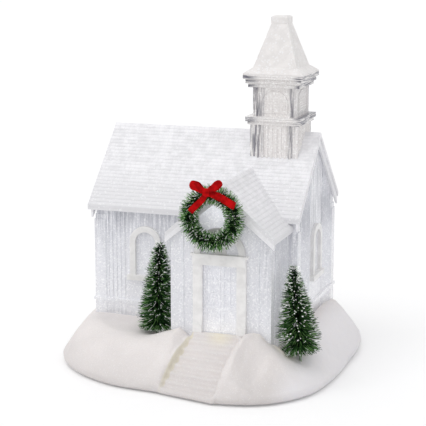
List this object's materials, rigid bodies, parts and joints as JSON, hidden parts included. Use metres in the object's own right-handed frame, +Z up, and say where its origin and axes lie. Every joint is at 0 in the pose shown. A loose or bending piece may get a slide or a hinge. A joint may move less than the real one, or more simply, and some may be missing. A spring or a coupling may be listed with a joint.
{
  "type": "lighted christmas village church",
  "caption": "Lit, water-filled winter church: clear ribbed walls, frosted shingle roofs, bell tower, porch with wreath and bow, stairs and brush trees on a snowy base.",
  "frame": {"origin": "on the table, under the middle of the base's bounding box", "axes": "+Z up, -Y out of the front with the door and stairs, +X to the right for someone facing the door, along the nave's ridge"},
  "size_m": [0.227, 0.236, 0.2642],
  "materials": {
    "snow": "white resin with fine glitter",
    "white_plastic": "moulded, fine texture",
    "steel": "zinc plated",
    "plated_contact": "nickel plated strip",
    "rubber": "soft black rubber",
    "cell_jacket": "plain dark sleeve",
    "black_plastic": "moulded",
    "board": "green lacquered board",
    "lamp": "warm white lamp, emissive",
    "lead_jacket": "insulated wire",
    "motor_can": "drawn steel can",
    "clear_acrylic": "clear moulded plastic, ribbed and crackled",
    "frosted_acrylic": "frosted translucent plastic with glitter",
    "white_trim": "painted off-white",
    "brush": "green bristles with snow-white tips",
    "brush_wire": "twisted wire",
    "red_velvet": "flocked ribbon"
  },
  "bodies": {
    "church": {"snow_base": "snow", "base_plate": "white_plastic", "base_plate_screws": "steel", "rubber_feet": "rubber", "battery_box": "white_plastic", "battery_cells": "cell_jacket", "battery_contacts": "plated_contact", "battery_springs": "steel", "switch_housing": "black_plastic", "circuit_board": "board", "board_screws": "steel", "board_components": "black_plastic", "led_lamps": "lamp", "leads": "lead_jacket", "motor_cup": "white_plastic", "motor_cup_screws": "steel", "motor": "motor_can", "tank_floor": "clear_acrylic", "tank_gasket": "rubber", "tank_floor_screws": "steel", "fill_plug": "rubber", "impeller_pin": "steel", "impeller_guard": "clear_acrylic", "nave_walls": "clear_acrylic", "nave_roof": "frosted_acrylic", "left_gable_trim": "frosted_acrylic", "right_gable_trim": "frosted_acrylic", "front_window": "white_trim", "left_window": "white_trim", "right_window": "white_trim", "back_windows": "white_trim", "porch_walls": "clear_acrylic", "porch_roof": "frosted_acrylic", "porch_bargeboard": "frosted_acrylic", "door_surround": "white_trim", "door_fanlight": "white_trim", "left_door_leaf": "clear_acrylic", "right_door_leaf": "clear_acrylic", "tower_shaft": "clear_acrylic", "shaft_cornice": "clear_acrylic", "belfry": "clear_acrylic", "belfry_panels": "frosted_acrylic", "belfry_cornice": "clear_acrylic", "spire": "frosted_acrylic", "spire_cap": "frosted_acrylic", "wreath": "brush", "wreath_hanger": "brush_wire", "ribbon_bow": "red_velvet", "left_tree": "brush", "left_tree_stem": "brush_wire", "right_tree": "brush", "right_tree_stem": "brush_wire"},
    "battery_door": {"battery_door": "white_plastic"},
    "switch_slider": {"switch_slider": "black_plastic"},
    "drive": {"drive_shaft": "steel", "drive_disc": "white_plastic", "drive_magnets": "steel"},
    "impeller": {"impeller": "white_plastic", "impeller_magnets": "steel"}
  },
  "joints": [
    {"name": "battery_door_hinge", "type": "hinge", "parent": "church", "child": "battery_door", "pos_m": [-0.0505, 0.06335, 0.0062], "axis": [1, 0, 0], "range_deg": [0, 95]},
    {"name": "switch_slide", "type": "slide", "parent": "church", "child": "switch_slider", "axis": [1, 0, 0], "range_m": [0, 0.006]},
    {"name": "drive_spin", "type": "hinge", "parent": "church", "child": "drive", "pos_m": [0.0055, 0.028, 0.024], "axis": [0, 0, 1], "continuous": true},
    {"name": "impeller_spin", "type": "hinge", "parent": "church", "child": "impeller", "pos_m": [0.0055, 0.028, 0.034], "axis": [0, 0, 1], "continuous": true}
  ],
  "couplings": [
    {"joint": "impeller_spin", "follows": "drive_spin", "ratio": 1}
  ]
}
